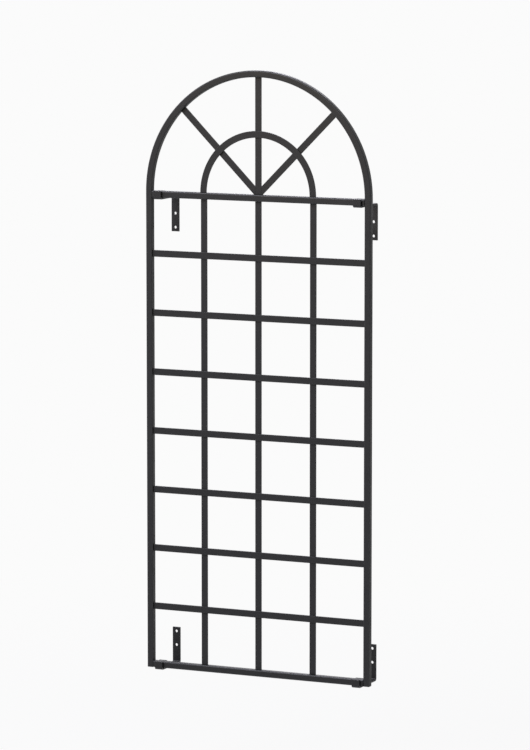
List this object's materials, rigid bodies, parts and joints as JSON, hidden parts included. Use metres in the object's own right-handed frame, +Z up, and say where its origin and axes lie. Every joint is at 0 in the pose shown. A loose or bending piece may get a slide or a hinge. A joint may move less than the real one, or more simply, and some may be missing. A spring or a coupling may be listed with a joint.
{
  "type": "espalier frame",
  "caption": "Arched wall espalier frame in dark coated steel: square-tube hoop filled with lapped flat bars and a fan, lifting out of open cradles on bent strip wall brackets.",
  "frame": {"origin": "in the wall plane, at the middle of the eight screw holes of the four wall plates", "axes": "+Z up along the legs, +Y into the wall, +X to the right as seen from the front"},
  "size_m": [0.728, 0.127, 1.8052],
  "materials": {
    "coated_steel": "satin anthracite powder coat",
    "plug_plastic": "matte black"
  },
  "bodies": {
    "wall_set": {"upper_left_bracket": "coated_steel", "upper_right_bracket": "coated_steel", "lower_left_bracket": "coated_steel", "lower_right_bracket": "coated_steel", "upper_left_keeper": "coated_steel", "upper_right_keeper": "coated_steel", "lower_left_keeper": "coated_steel", "lower_right_keeper": "coated_steel"},
    "frame": {"outer_hoop": "coated_steel", "top_rail": "coated_steel", "bottom_rail": "coated_steel", "left_vertical_bar": "coated_steel", "centre_vertical_bar": "coated_steel", "right_vertical_bar": "coated_steel", "horizontal_bar_1": "coated_steel", "horizontal_bar_2": "coated_steel", "horizontal_bar_3": "coated_steel", "horizontal_bar_4": "coated_steel", "horizontal_bar_5": "coated_steel", "horizontal_bar_6": "coated_steel", "horizontal_bar_7": "coated_steel", "inner_arch": "coated_steel", "centre_spoke": "coated_steel", "left_diagonal_spoke": "coated_steel", "right_diagonal_spoke": "coated_steel", "left_leg_plug": "plug_plastic", "right_leg_plug": "plug_plastic"}
  },
  "joints": [
    {"name": "lift_out", "type": "slide", "parent": "wall_set", "child": "frame", "axis": [0, 0, 1], "range_m": [0, 0.03]}
  ]
}
